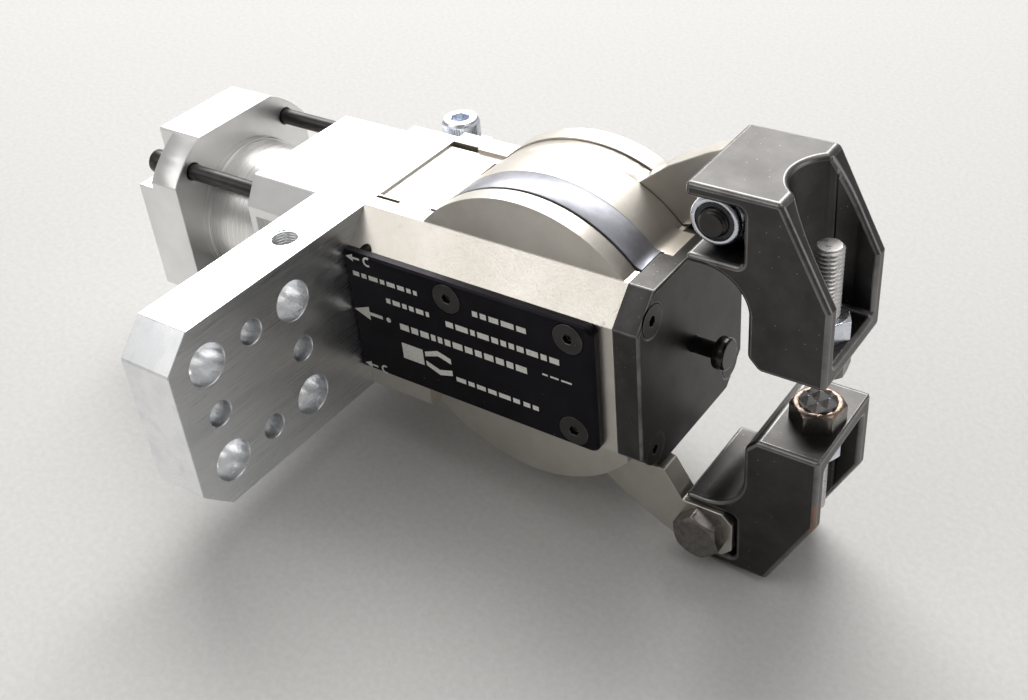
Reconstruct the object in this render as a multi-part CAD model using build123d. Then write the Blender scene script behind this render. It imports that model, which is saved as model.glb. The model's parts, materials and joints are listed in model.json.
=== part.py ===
from build123d import *
import math
import os

# Two-jaw pneumatic gripper: an air cylinder drives a crosshead whose rollers run in
# cam slots in two arms, so that both jaws turn about one axis and open by the same angle.
#
# Every shape is drawn in jaw coordinates: the jaw axis is the line x = 0, z = 0 along Y,
# +X points at the jaws, +Z is up.  The finished pieces are then moved by TO_FRAME, so that
# the part's origin is the centre of the mounting plate's hole pattern on its front face.
# Upper and lower halves are the same pieces turned half a turn about X.

# ---- driving dimensions, millimetres ----

# mounting plate
PLATE_FRONT = -57.3
PLATE_THICK = 18.9
PLATE_REAR = PLATE_FRONT - PLATE_THICK
PLATE_HALF_HEIGHT = 31.3
PLATE_OUTER = -106.3
PLATE_INNER = 27.5
PLATE_CHAMFER = 9.5
PATTERN_Y = -75.2
PATTERN_SPACING = 35.0
BOLT_HOLE_R = 6.5
DOWEL_HOLE_R = 4.0
PORT_Y = -47.5
PORT_R = 4.3
PORT_DEPTH = 10.5
TAB_END = 45.5
TAB_HALF_HEIGHT = 22.5
TAB_SCREW_Y = 40.3
PLATE_MID_X = (PLATE_FRONT + PLATE_REAR) / 2

# head housing
HEAD_FRONT = 36.2
HALF_Y = 31.0
HALF_Z = 31.5
HEAD_CHAMFER = 9.5
DISC_R = 46.8
DISC_ROOT_Z = 20.0
CHEEK_NEAR = -21.3
CHEEK_FAR = 26.0
GUARD_Y = (-14.4, -3.8)
GUARD_GAP = 1.0
GUARD_R = DISC_R
GUARD_THICK = 2.2
GUARD_GROOVE_R = GUARD_R - GUARD_THICK
GUARD_REAR = -37.3
SLOT_Y = (11.0, 19.1)
TONGUE_Y = (-4.2, 8.4)
TONGUE_FRONT = 40.2
TONGUE_DEPTH = 3.5
RAIL_FRONT = -33.0
RAIL_ROOT_Z = 23.0
PANEL_Y = (-14.5, 22.8)
PANEL_DEPTH = 1.2
CHANNEL_HALF_Y = 6.5
CHANNEL_HALF_Z = 12.0
CHANNEL_X = (-47.3, 14.0)
ROOT_R = 4.5
VENT = (-50.8, 20.8)
VENT_R = 2.6
VENT_DEPTH = 6.0

# front cover and side plates
COVER_THICK = 8.2
COVER_FRONT = HEAD_FRONT + COVER_THICK
COVER_SCREW_Y = 23.5
COVER_SCREW_Z = 22.8
SIDE_THICK = 3.2
SIDE_FRONT = 31.8
SIDE_HALF_Z = 22.2
LABEL_SCREWS = ((-18.6, 16.4), (23.5, 16.4), (23.5, -16.4))
SIDE_SCREWS = ((-48.0, 16.4), (-48.0, -16.4), (23.5, 16.4), (23.5, -16.4))
FLAT_HEAD_R = 5.0
FLAT_HEAD_DEPTH = 2.6
COUNTERSINK_ROOM = 0.25
M5_R = 2.5

# cylinder
FRONT_CAP_REAR = -103.0
FRONT_CAP_HALF_Y = 28.5
REAR_CAP_FRONT = -133.0
REAR_CAP_STEP = -145.0
REAR_CAP_REAR = -152.0
REAR_CAP_HALF_Y = 32.0
REAR_CAP_HALF_Z = 35.0
REAR_CAP_R = 39.0
REAR_CAP_ARM_Y = 17.8
REAR_CAP_ARM_Z = 20.0
BARREL_R = 24.15
BORE_R = 20.0
BARREL_X = (-139.0, -97.5)
TIE_Y = 22.8
TIE_Z = 24.8
TIE_R = 2.75
TIE_NUT_R = 4.1
TIE_NUT_LENGTH = 6.0

# piston, rod and crosshead, with the jaws closed
STROKE = 22.0
PISTON_X = (-114.1, -100.1)
PISTON_R = 19.8
SEAL_R = 19.95
ROD_R = 8.0
CROSSHEAD_X = (-24.5, 4.5)
ROLLER_X = -15.0
ROLLER_R = 5.0
CROSS_PIN_R = 3.0
RUNNING = 0.05

# arms
OPENING = 45.0
ARM_Y = (11.2, 18.8)
ARM_DISC_R = 46.3
HUB_R = 17.0
PIVOT_R = 5.0
BUSH_R = 6.5
ARM_BOLT = (57.3, 52.0)
M8_R = 4.0
M8_HOLE_R = 4.1
BOLT_FLATS = 14.0
BOLT_TURN = 41.0

# jaws
JAW_HALF_Y = 17.9
JAW_TOP = 64.6
JAW_SLOPE_X = 77.6
JAW_FRONT = 92.0
JAW_BOTTOM = 12.2
PRONG_BOTTOM = 40.9
FORK_Z = (43.5, 60.5)
FORK_X = (51.2, 67.6)
POCKET_R = 13.2
POCKET_X = 85.7
POCKET_FLOOR = 17.6
NUT_SEAT = -5.5
STUD_X = 83.4
STUD_TOP = 45.2
PAD_FACE = 4.6
CONTACT_TURN = 37.0
INSERT_R = 5.3
TEETH_PITCH = 4.0
TEETH_DEPTH = 1.9
TEETH_TURN = 30.0

# release pin
PIN_R = 2.5
PIN_END = 12.0
PIN_HEAD_X = (52.0, 55.8)
PIN_HEAD_R = 5.0
COLLAR_X = (34.2, 36.2)
COLLAR_R = 4.8
SPRING_SEAT = 20.0
SPRING_POCKET_R = 5.3

TO_FRAME = Pos(-PLATE_FRONT, -PATTERN_Y, 0)


# ---- small helpers ----

def block(x, y, z):
    """Box between the given (low, high) pairs."""
    size = [pair[1] - pair[0] for pair in (x, y, z)]
    middle = [(pair[0] + pair[1]) / 2 for pair in (x, y, z)]
    return Pos(*middle) * Box(*size)


def rod_x(x0, x1, radius, y=0.0, z=0.0, bevel=0.0):
    """Round bar along X from x0 to x1."""
    bar = Cylinder(radius, x1 - x0, align=(Align.CENTER, Align.CENTER, Align.MIN))
    if bevel:
        bar = chamfer(bar.edges().filter_by(GeomType.CIRCLE), bevel)
    return Pos(x0, y, z) * Rot(0, 90, 0) * bar


def rod_y(y0, y1, radius, x=0.0, z=0.0, bevel=0.0):
    """Round bar along Y from y0 to y1."""
    bar = Cylinder(radius, y1 - y0, align=(Align.CENTER, Align.CENTER, Align.MIN))
    if bevel:
        bar = chamfer(bar.edges().filter_by(GeomType.CIRCLE), bevel)
    return Pos(x, y0, z) * Rot(-90, 0, 0) * bar


def rod_z(z0, z1, radius, x=0.0, y=0.0, bevel=0.0):
    """Round bar along Z from z0 to z1."""
    bar = Cylinder(radius, z1 - z0, align=(Align.CENTER, Align.CENTER, Align.MIN))
    if bevel:
        bar = chamfer(bar.edges().filter_by(GeomType.CIRCLE), bevel)
    return Pos(x, y, z0) * bar


def ring_x(x0, x1, inner, outer, y=0.0, z=0.0):
    """Plain ring about an axis along X."""
    return rod_x(x0, x1, outer, y, z) - rod_x(x0, x1, inner, y, z)


def slab(sketch, y0, y1):
    """Sketch in X and Z made solid from y0 to y1."""
    return extrude(Plane.XZ.offset(-y1) * sketch, amount=y1 - y0)


def bar_of(sketch, x0, x1):
    """Sketch in Y and Z made solid from x0 to x1."""
    return extrude(Plane.YZ.offset(x0) * sketch, amount=x1 - x0)


def polygon(points):
    return make_face(Polyline(*points, close=True))


def half_turn(shape):
    """The same piece on the other half of the gripper: half a turn about X."""
    return shape.rotate(Axis.X, 180)


def octagon(half_y, half_z, cut_y, cut_z):
    points = []
    for sign_y, sign_z in ((1, 1), (-1, 1), (-1, -1), (1, -1)):
        corner = [
            (sign_y * half_y, sign_z * (half_z - cut_z)),
            (sign_y * (half_y - cut_y), sign_z * half_z),
        ]
        if sign_y * sign_z < 0:
            corner.reverse()
        points += corner
    return polygon(points)


def arc_sector(radius, start, end):
    """Round sector about the jaw axis between two angles in degrees."""
    first = polar(radius, start)
    middle = polar(radius, (start + end) / 2)
    last = polar(radius, end)
    edges = [Line((0, 0), first), ThreePointArc(first, middle, last), Line(last, (0, 0))]
    return make_face(edges)


def polar(radius, degrees):
    angle = math.radians(degrees)
    return (radius * math.cos(angle), radius * math.sin(angle))


def hexagon(across_flats):
    return RegularPolygon(across_flats / 2, 6, major_radius=False)


def flat_screw(length, socket=3.0):
    """M5 countersunk socket screw, head face at z = 0, shank down -Z."""
    head = Pos(0, 0, -FLAT_HEAD_DEPTH / 2) * Cone(M5_R, FLAT_HEAD_R, FLAT_HEAD_DEPTH)
    shank = rod_z(-length, -FLAT_HEAD_DEPTH, M5_R)
    recess = extrude(Pos(0, 0, -1.8) * hexagon(socket), amount=2.0)
    return head + shank - recess


def flat_screw_hole(length):
    head_r = FLAT_HEAD_R + COUNTERSINK_ROOM
    head = Pos(0, 0, -FLAT_HEAD_DEPTH / 2) * Cone(M5_R, head_r, FLAT_HEAD_DEPTH)
    return head + rod_z(-length, -FLAT_HEAD_DEPTH, M5_R)


def socket_screw(radius, head_r, head_h, length, socket):
    """Cap screw standing on z = 0, shank down -Z."""
    head = rod_z(0, head_h, head_r)
    head = chamfer(head.edges().filter_by(GeomType.CIRCLE).sort_by(Axis.Z)[-1], 0.6)
    recess = extrude(Pos(0, 0, head_h - 4.5) * hexagon(socket), amount=5.0)
    return head + rod_z(-length, 0, radius) - recess


def hex_with_bevel(across_flats, height):
    """Hexagon standing on z = 0 with its top corners turned off at 30 degrees."""
    prism = extrude(hexagon(across_flats), amount=height)
    face_r = 0.475 * across_flats
    base_r = face_r + height / math.tan(math.radians(30))
    turned = Cone(base_r, face_r, height, align=(Align.CENTER, Align.CENTER, Align.MIN))
    return prism & turned


# ---- mounting plate ----

def mount_plate():
    outline = polygon([
        (PLATE_OUTER, PLATE_HALF_HEIGHT - PLATE_CHAMFER),
        (PLATE_OUTER + PLATE_CHAMFER, PLATE_HALF_HEIGHT),
        (PLATE_INNER, PLATE_HALF_HEIGHT),
        (PLATE_INNER + 3.0, TAB_HALF_HEIGHT),
        (TAB_END, TAB_HALF_HEIGHT),
        (TAB_END, -TAB_HALF_HEIGHT),
        (PLATE_INNER + 3.0, -TAB_HALF_HEIGHT),
        (PLATE_INNER, -PLATE_HALF_HEIGHT),
        (PLATE_OUTER + PLATE_CHAMFER, -PLATE_HALF_HEIGHT),
        (PLATE_OUTER, -PLATE_HALF_HEIGHT + PLATE_CHAMFER),
    ])
    plate = bar_of(outline, PLATE_REAR, PLATE_FRONT)
    plate = chamfer(plate.edges().filter_by(Axis.X).group_by(Axis.Y)[0], 0.5)
    x0 = PLATE_REAR - 1
    x1 = PLATE_FRONT + 1
    half = PATTERN_SPACING / 2
    for dy in (-half, half):
        for dz in (-half, half):
            plate -= rod_x(x0, x1, BOLT_HOLE_R, PATTERN_Y + dy, dz)
        plate -= rod_x(x0, x1, DOWEL_HOLE_R, PATTERN_Y + dy, 0)
        plate -= rod_x(x0, x1, DOWEL_HOLE_R, PATTERN_Y, dy)
    for sign in (-1, 1):
        depth = sorted((sign * (PLATE_HALF_HEIGHT + 1), sign * (PLATE_HALF_HEIGHT - PORT_DEPTH)))
        plate -= rod_z(depth[0], depth[1], PORT_R, PLATE_MID_X, PORT_Y)
    plate -= rod_x(x0, x1, ROD_R + 0.4)
    plate -= rod_x(PLATE_FRONT - 5.0, x1, 11.0)
    plate -= tie_holes(x0, x1, TIE_R + 0.2)
    plate -= rod_z(TAB_HALF_HEIGHT - 16, TAB_HALF_HEIGHT + 1, M8_R, PLATE_MID_X, TAB_SCREW_Y)
    return plate


def tab_screw():
    screw = socket_screw(M8_R, 6.5, 8.0, 14.0, 6.0)
    return Pos(PLATE_MID_X, TAB_SCREW_Y, TAB_HALF_HEIGHT) * screw


def tie_positions():
    return [(y, z) for y in (-TIE_Y, TIE_Y) for z in (-TIE_Z, TIE_Z)]


def tie_holes(x0, x1, radius):
    holes = Part()
    for y, z in tie_positions():
        holes += rod_x(x0, x1, radius, y, z)
    return holes


# ---- head housing ----

def root_fillet(radius, y0, y1):
    """Concave fillet where a round of this radius runs into the flat in front of it."""
    rise = HALF_Z + ROOT_R
    run = math.sqrt((radius + ROOT_R) ** 2 - rise ** 2)
    share = radius / (radius + ROOT_R)
    corner = polygon([
        (run * share, rise * share),
        (run, HALF_Z),
        (run, HALF_Z - 0.5),
        (run * share, HALF_Z - 0.5),
    ])
    return slab(corner - Pos(run, rise) * Circle(ROOT_R), y0, y1)


def disc_half():
    """Round cheeks and centre band that stand out of the top of the block."""
    above = block((PLATE_FRONT, HEAD_FRONT), (CHEEK_NEAR, CHEEK_FAR), (DISC_ROOT_Z, DISC_R))
    disc = rod_y(CHEEK_NEAR, CHEEK_FAR, DISC_R) & above
    tongue = block((30.0, TONGUE_FRONT), TONGUE_Y, (HALF_Z - TONGUE_DEPTH, HALF_Z))
    rail = block((PLATE_FRONT, RAIL_FRONT), (PANEL_Y[1], HALF_Y + 0.5), (RAIL_ROOT_Z, HALF_Z))
    rail = chamfer(rail.edges().filter_by(Axis.X).group_by(Axis.Y)[-1], 1.0)
    return disc + tongue + root_fillet(DISC_R, GUARD_Y[1], TONGUE_Y[1]) + rail


def guard_groove():
    low = GUARD_Y[0] - GUARD_GAP
    high = GUARD_Y[1]
    seat = HALF_Z - GUARD_THICK
    ring = rod_y(low, high, DISC_R + 1) - rod_y(low, high, GUARD_GROOVE_R)
    ring = ring & block((-60, 60), (low, high), (seat, 60))
    front = block((28.0, HEAD_FRONT + 1), (low, high), (seat, HALF_Z + 1))
    rear = block((GUARD_REAR, -28.0), (low, high), (seat, HALF_Z + 1))
    inside = rod_y(low, high, GUARD_GROOVE_R)
    return ring + (front - inside) + (rear - inside)


def guard_strip():
    """Curved plate that closes the unused arm slot, with a flat foot at each end."""
    low, high = GUARD_Y
    seat = HALF_Z - GUARD_THICK
    ring = rod_y(low, high, GUARD_R) - rod_y(low, high, GUARD_GROOVE_R)
    ring = ring & block((-60, 60), (low, high), (seat, 60))
    front = block((28.0, HEAD_FRONT), (low, high), (seat, HALF_Z))
    rear = block((GUARD_REAR, -28.0), (low, high), (seat, HALF_Z))
    inside = rod_y(low, high, GUARD_GROOVE_R)
    root = root_fillet(GUARD_R, low, high) & block((0, HEAD_FRONT), (low, high), (seat, 60))
    return ring + (front - inside) + (rear - inside) + root


def arm_pocket():
    """Room for one arm in all its positions, open at the top."""
    sweep = arc_sector(DISC_R + 0.3, 50.0, 165.0 + OPENING + 2.0)
    hub = Circle(HUB_R + 1.0)
    way_out = polygon([(0, 0), (17.6, 3.6), (33.2, 29.2), (35.0, 31.2), (35.0, 60.0), (0, 60.0)])
    rear_mouth = polygon([(-37.3, 0), (0, 0), (0, 60.0), (-37.3, 60.0)])
    return slab(sweep + hub + way_out + rear_mouth, *SLOT_Y)


def top_details():
    """Recessed panel and short slits behind the cheeks."""
    panel = block((PLATE_FRONT - 1, -32.0), PANEL_Y, (HALF_Z - PANEL_DEPTH, HALF_Z + 1))
    panel -= rod_y(PANEL_Y[0], PANEL_Y[1], DISC_R)
    near = block((PLATE_FRONT - 1, -48.0), (-16.5, -15.2), (HALF_Z - 4, HALF_Z + 1))
    far = block((PLATE_FRONT - 1, -46.5), (22.4, 23.9), (HALF_Z - 4, HALF_Z + 1))
    return panel + near + far


def pin_slot():
    """Slot in one inner wall for the cross pin."""
    front = ROLLER_X
    rear = ROLLER_X - STROKE
    half = CROSS_PIN_R + 0.3
    middle = Pos((front + rear) / 2, 0) * Rectangle(front - rear, 2 * half)
    ends = Pos(front, 0) * Circle(half) + Pos(rear, 0) * Circle(half)
    return slab(middle + ends, CHANNEL_HALF_Y - 1, SLOT_Y[0] + 1)


def head_housing():
    body = bar_of(octagon(HALF_Y, HALF_Z, HEAD_CHAMFER, HEAD_CHAMFER), PLATE_FRONT, HEAD_FRONT)
    top = disc_half()
    body = body + top + half_turn(top)
    cuts = (guard_groove(), arm_pocket(), top_details(), pin_slot())
    for cut in cuts:
        body -= cut
        body -= half_turn(cut)
    channel_y = (-CHANNEL_HALF_Y, CHANNEL_HALF_Y)
    channel_z = (-CHANNEL_HALF_Z, CHANNEL_HALF_Z)
    body -= block(CHANNEL_X, channel_y, channel_z)
    body -= rod_x(PLATE_FRONT - 1, CROSSHEAD_X[0] + 1, ROD_R + 0.4)
    body -= rod_x(CHANNEL_X[1] - 1, SPRING_SEAT + 1, PIN_R + RUNNING)
    body -= rod_x(SPRING_SEAT, HEAD_FRONT + 1, SPRING_POCKET_R)
    body -= rod_y(-HALF_Y - 1, HALF_Y + 1, PIVOT_R)
    body -= rod_y(-HALF_Y - 1, -HALF_Y + VENT_DEPTH, VENT_R, *VENT)
    body -= tie_holes(PLATE_FRONT - 1, PLATE_FRONT + 9, TIE_R)
    for y, z in cover_screw_positions():
        body -= rod_x(HEAD_FRONT - 9, HEAD_FRONT + 1, M5_R, y, z)
    for x, z in LABEL_SCREWS:
        body -= rod_y(-HALF_Y - 1, -HALF_Y + 9, M5_R, x, z)
    for x, z in SIDE_SCREWS:
        body -= rod_y(HALF_Y - 9, HALF_Y + 1, M5_R, x, z)
    return body


# ---- front cover, side plates and their screws ----

def cover_screw_positions():
    return [(y, z) for y in (-COVER_SCREW_Y, COVER_SCREW_Y) for z in (-COVER_SCREW_Z, COVER_SCREW_Z)]


def front_cover():
    cover = bar_of(octagon(HALF_Y, HALF_Z, HEAD_CHAMFER, HEAD_CHAMFER), HEAD_FRONT, COVER_FRONT)
    cover = chamfer(cover.faces().sort_by(Axis.X)[-1].edges(), 0.5)
    notch = block((HEAD_FRONT, TONGUE_FRONT), TONGUE_Y, (HALF_Z - TONGUE_DEPTH, HALF_Z + 1))
    cover = cover - notch - half_turn(notch)
    cover -= rod_x(HEAD_FRONT - 1, COVER_FRONT + 1, PIN_R + RUNNING)
    for y, z in cover_screw_positions():
        cover -= Pos(COVER_FRONT, y, z) * Rot(0, 90, 0) * flat_screw_hole(16)
    return cover


def cover_screws():
    screws = [
        Pos(COVER_FRONT, y, z) * Rot(0, 90, 0) * flat_screw(16)
        for y, z in cover_screw_positions()
    ]
    return Compound(children=screws)


def side_plate(sign, screws):
    """Plate over a pivot pin's end; sign is -1 on the label side."""
    length = SIDE_FRONT - PLATE_FRONT
    middle = (SIDE_FRONT + PLATE_FRONT) / 2
    inner = sign * HALF_Y
    outer = sign * (HALF_Y + SIDE_THICK)
    outline = Pos(middle, 0) * Rectangle(length, 2 * SIDE_HALF_Z)
    plate = slab(outline, min(inner, outer), max(inner, outer))
    corners = plate.edges().filter_by(Axis.Y).group_by(Axis.X)[-1]
    plate = fillet(corners, 3.0)
    outer_face = plate.faces().sort_by(Axis.Y)[0 if sign < 0 else -1]
    plate = chamfer(outer_face.edges(), 0.8)
    for x, z in screws:
        plate -= side_screw_place(sign, x, z) * flat_screw_hole(12)
    return plate


def side_screw_place(sign, x, z):
    return Pos(x, sign * (HALF_Y + SIDE_THICK), z) * Rot(-90 * sign, 0, 0)


def side_screws(sign, screws):
    return Compound(children=[side_screw_place(sign, x, z) * flat_screw(12) for x, z in screws])


# ---- cylinder ----

def front_cap():
    section = octagon(FRONT_CAP_HALF_Y, HALF_Z, 5.7, 9.0)
    cap = bar_of(section, FRONT_CAP_REAR, PLATE_REAR)
    for sign in (-1, 1):
        side = sorted((sign * (FRONT_CAP_HALF_Y - 3.0), sign * (FRONT_CAP_HALF_Y + 1)))
        cap -= block((FRONT_CAP_REAR + 3.0, PLATE_REAR + 1), side, (-19.0, 19.0))
    cap -= rod_x(FRONT_CAP_REAR - 1, BARREL_X[1], BARREL_R)
    cap -= ring_x(BARREL_X[1] - 5.0, BARREL_X[1] - 3.0, BARREL_R, 25.95)
    cap -= rod_x(BARREL_X[1] - 1, PLATE_REAR + 1, ROD_R + 0.4)
    cap -= rod_x(-92.0, PLATE_REAR + 1, 10.5)
    cap -= rod_x(-80.0, PLATE_REAR + 1, 12.5)
    cap -= tie_holes(FRONT_CAP_REAR - 1, PLATE_REAR + 1, TIE_R + 0.2)
    return cap


def rear_cap():
    section = Rectangle(2 * REAR_CAP_HALF_Y, 2 * REAR_CAP_HALF_Z) & Circle(REAR_CAP_R)
    cap = bar_of(section, REAR_CAP_REAR, REAR_CAP_FRONT)
    for sign_y in (-1, 1):
        for sign_z in (-1, 1):
            y = sorted((sign_y * REAR_CAP_ARM_Y, sign_y * REAR_CAP_R))
            z = sorted((sign_z * REAR_CAP_ARM_Z, sign_z * REAR_CAP_R))
            cap -= block((REAR_CAP_REAR - 1, REAR_CAP_STEP), y, z)
    cap -= rod_x(BARREL_X[0], REAR_CAP_FRONT + 1, BARREL_R)
    cap -= ring_x(BARREL_X[0] + 1.2, BARREL_X[0] + 3.2, BARREL_R, 25.95)
    cap -= tie_holes(REAR_CAP_REAR - 1, REAR_CAP_FRONT + 1, TIE_R + 0.2)
    return cap


def cylinder_barrel():
    barrel = ring_x(BARREL_X[0], BARREL_X[1], BORE_R, BARREL_R)
    collar = ring_x(REAR_CAP_FRONT, REAR_CAP_FRONT + 3.0, BARREL_R, BARREL_R + 0.9)
    return barrel + collar


def barrel_seals():
    rear = ring_x(BARREL_X[0] + 1.3, BARREL_X[0] + 3.1, BARREL_R, 25.9)
    front = ring_x(BARREL_X[1] - 4.9, BARREL_X[1] - 3.1, BARREL_R, 25.9)
    return Compound(children=[rear, front])


def tie_rods():
    rods = [
        rod_x(REAR_CAP_STEP - TIE_NUT_LENGTH + 1.2, PLATE_FRONT + 8.5, TIE_R, y, z, 0.4)
        for y, z in tie_positions()
    ]
    return Compound(children=rods)


def tie_rod_nuts():
    nuts = []
    rear = REAR_CAP_STEP - TIE_NUT_LENGTH
    for y, z in tie_positions():
        nut = rod_x(rear, REAR_CAP_STEP, TIE_NUT_R, y, z, 0.5)
        nuts.append(nut - rod_x(rear - 1, REAR_CAP_STEP + 1, TIE_R, y, z))
    return Compound(children=nuts)


def rod_bush():
    return ring_x(-92.0, -80.0, ROD_R + RUNNING, 10.5)


def rod_seal():
    return ring_x(-80.0, PLATE_REAR, ROD_R + RUNNING, 12.5)


def rod_wiper():
    return ring_x(PLATE_FRONT - 5.0, PLATE_FRONT, ROD_R + RUNNING, 11.0)


# ---- piston, rod and crosshead ----

def piston():
    x0, x1 = PISTON_X
    body = rod_x(x0, x1, PISTON_R, bevel=0.5)
    for low, high, floor in piston_grooves():
        body -= ring_x(low, high, floor, PISTON_R + 1)
    body -= rod_x(x0 - 1, x1 + 1, 6.0)
    body -= rod_x(x0 - 1, x0 + 6.0, 11.5)
    return body


def piston_grooves():
    """Two lip seals with the guide ring between them: (low x, high x, floor radius)."""
    x0 = PISTON_X[0]
    return [(x0 + 1.4, x0 + 4.4, 16.5), (x0 + 5.4, x0 + 8.8, 18.3), (x0 + 9.8, x0 + 12.8, 16.5)]


def piston_seals():
    rings = [ring_x(low, high, floor, SEAL_R) for low, high, floor in piston_grooves()[::2]]
    return Compound(children=rings)


def piston_guide_ring():
    low, high, floor = piston_grooves()[1]
    return ring_x(low, high, floor, SEAL_R)


def piston_rod():
    rod = rod_x(PISTON_X[1], CROSSHEAD_X[0], ROD_R)
    tail = rod_x(PISTON_X[0] + 0.4, PISTON_X[1], 6.0)
    tenon = rod_x(CROSSHEAD_X[0], CROSSHEAD_X[0] + 5.5, 5.0)
    return rod + tail + tenon


def piston_nut():
    nut = extrude(hexagon(18.0), amount=5.4) - rod_z(-1, 7, 6.0)
    return Pos(PISTON_X[0] + 6.0, 0, 0) * Rot(0, -90, 0) * nut


def crosshead():
    y = (-CHANNEL_HALF_Y + RUNNING, CHANNEL_HALF_Y - RUNNING)
    z = (-CHANNEL_HALF_Z + RUNNING, CHANNEL_HALF_Z - RUNNING)
    head = block(CROSSHEAD_X, y, z)
    head = chamfer(head.edges().filter_by(Axis.Y), 1.5)
    head -= rod_y(-10, 10, CROSS_PIN_R, ROLLER_X)
    head -= rod_x(CROSSHEAD_X[0] - 1, CROSSHEAD_X[0] + 5.5, 5.0)
    return head


def cross_pin():
    half = ARM_Y[1] - 0.1
    return rod_y(-half, half, CROSS_PIN_R, ROLLER_X, bevel=0.4)


def cam_rollers():
    y0 = ARM_Y[0] + 0.1
    y1 = ARM_Y[1] - 0.1
    roller = rod_y(y0, y1, ROLLER_R, ROLLER_X) - rod_y(y0, y1, CROSS_PIN_R, ROLLER_X)
    return Compound(children=[roller, half_turn(roller)])


# ---- arms ----

def cam_slot():
    """Spiral slot: the roller's distance from the jaw axis grows evenly with the arm's angle."""
    half = ROLLER_R + RUNNING
    start = -ROLLER_X
    rise = STROKE / math.radians(OPENING)
    sides = ([], [])
    steps = 8
    for step in range(steps + 1):
        turn = math.radians(OPENING) * step / steps
        radius = start + rise * turn
        angle = math.pi - turn
        along = Vector(
            rise * math.cos(angle) + radius * math.sin(angle),
            rise * math.sin(angle) - radius * math.cos(angle),
        ).normalized()
        across = Vector(-along.Y, along.X)
        centre = Vector(radius * math.cos(angle), radius * math.sin(angle))
        sides[0].append(centre + across * half)
        sides[1].append(centre - across * half)
        if step == 0:
            first_end = centre - along * half
        if step == steps:
            last_end = centre + along * half
    left, right = sides
    return make_face([
        Spline(*left),
        ThreePointArc(left[-1], last_end, right[-1]),
        Spline(*reversed(right)),
        ThreePointArc(right[0], first_end, left[0]),
    ])


def arm_outline():
    disc = arc_sector(ARM_DISC_R, 50.0, 165.0)
    reach = polygon([
        (8.0, 15.0),
        (15.6, 6.2),
        (32.0, 30.4),
        (35.6, 31.9),
        (44.6, 34.4),
        (50.4, 43.7),
        (63.6, 43.7),
        (67.0, 47.0),
        (67.0, 57.0),
        (63.8, 60.2),
        (50.4, 60.2),
        (42.0, 56.4),
        (30.0, 49.6),
        (20.0, 41.7),
    ])
    return disc + reach + Circle(HUB_R)


def jaw_arm():
    arm = slab(arm_outline(), *ARM_Y)
    arm -= slab(cam_slot(), ARM_Y[0] - 1, ARM_Y[1] + 1)
    arm -= rod_y(ARM_Y[0] - 1, ARM_Y[1] + 1, BUSH_R)
    arm -= rod_y(ARM_Y[0] - 1, ARM_Y[1] + 1, M8_HOLE_R, *ARM_BOLT)
    return arm


def pivot_bush():
    outer = rod_y(ARM_Y[0], ARM_Y[1], BUSH_R)
    return outer - rod_y(ARM_Y[0], ARM_Y[1], PIVOT_R + 0.03)


def pivot_pin():
    return rod_y(CHANNEL_HALF_Y + 0.2, HALF_Y, PIVOT_R, bevel=0.5)


# ---- jaws ----

def jaw_outline():
    corner = (69.5, 29.6)
    edges = [
        Line((FORK_X[0], PRONG_BOTTOM), (FORK_X[0], JAW_TOP)),
        Line((FORK_X[0], JAW_TOP), (JAW_SLOPE_X, JAW_TOP)),
        Line((JAW_SLOPE_X, JAW_TOP), (JAW_FRONT, 36.9)),
        Line((JAW_FRONT, 36.9), (JAW_FRONT, JAW_BOTTOM)),
        Line((JAW_FRONT, JAW_BOTTOM), (73.0, JAW_BOTTOM)),
        Line((73.0, JAW_BOTTOM), (corner[0], 15.9)),
        Line((corner[0], 15.9), corner),
        ThreePointArc(corner, (65.6, 37.2), (56.5, PRONG_BOTTOM)),
        Line((56.5, PRONG_BOTTOM), (FORK_X[0], PRONG_BOTTOM)),
    ]
    return make_face(edges)


def fork_cut(y0, y1):
    """Gap between the two prongs, open at the back, with round inner corners."""
    gap = block((FORK_X[0] - 10, FORK_X[1]), (y0, y1), FORK_Z)
    corners = gap.edges().filter_by(Axis.Y).group_by(Axis.X)[-1]
    return fillet(corners, 2.0)


def stud_pocket():
    """Upright slot with a round back, open at the top and front, for the screw and its nut."""
    room = rod_z(POCKET_FLOOR, JAW_TOP + 1, POCKET_R, POCKET_X)
    return room + block(
        (POCKET_X, JAW_FRONT + 2), (-POCKET_R, POCKET_R), (POCKET_FLOOR, JAW_TOP + 1)
    )


def jaw():
    body = slab(jaw_outline(), -JAW_HALF_Y, JAW_HALF_Y)
    body -= fork_cut(-JAW_HALF_Y - 1, NUT_SEAT)
    body -= fork_cut(ARM_Y[0], JAW_HALF_Y + 1)
    body -= stud_pocket()
    body -= rod_y(NUT_SEAT - 1, ARM_Y[0] + 1, M8_HOLE_R, *ARM_BOLT)
    body -= rod_z(JAW_BOTTOM - 1, POCKET_FLOOR + 1, M8_R + RUNNING, STUD_X)
    return body


def arm_bolt():
    head = Rot(0, 0, BOLT_TURN) * hex_with_bevel(BOLT_FLATS, 5.3)
    bolt = head + rod_z(NUT_SEAT - 9.8 - ARM_Y[1], 0, M8_R, bevel=0.6)
    return Pos(ARM_BOLT[0], ARM_Y[1], ARM_BOLT[1]) * Rot(-90, 0, 0) * bolt


def arm_bolt_nut():
    """Lock nut: a hexagon under a round collar that holds the locking ring."""
    nut = Rot(0, 0, -BOLT_TURN) * hex_with_bevel(BOLT_FLATS, 6.2) + rod_z(6.0, 8.0, 6.9)
    nut -= rod_z(7.4, 9, 5.6)
    nut -= rod_z(-1, 9, M8_R)
    return Pos(ARM_BOLT[0], NUT_SEAT, ARM_BOLT[1]) * Rot(90, 0, 0) * nut


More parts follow.
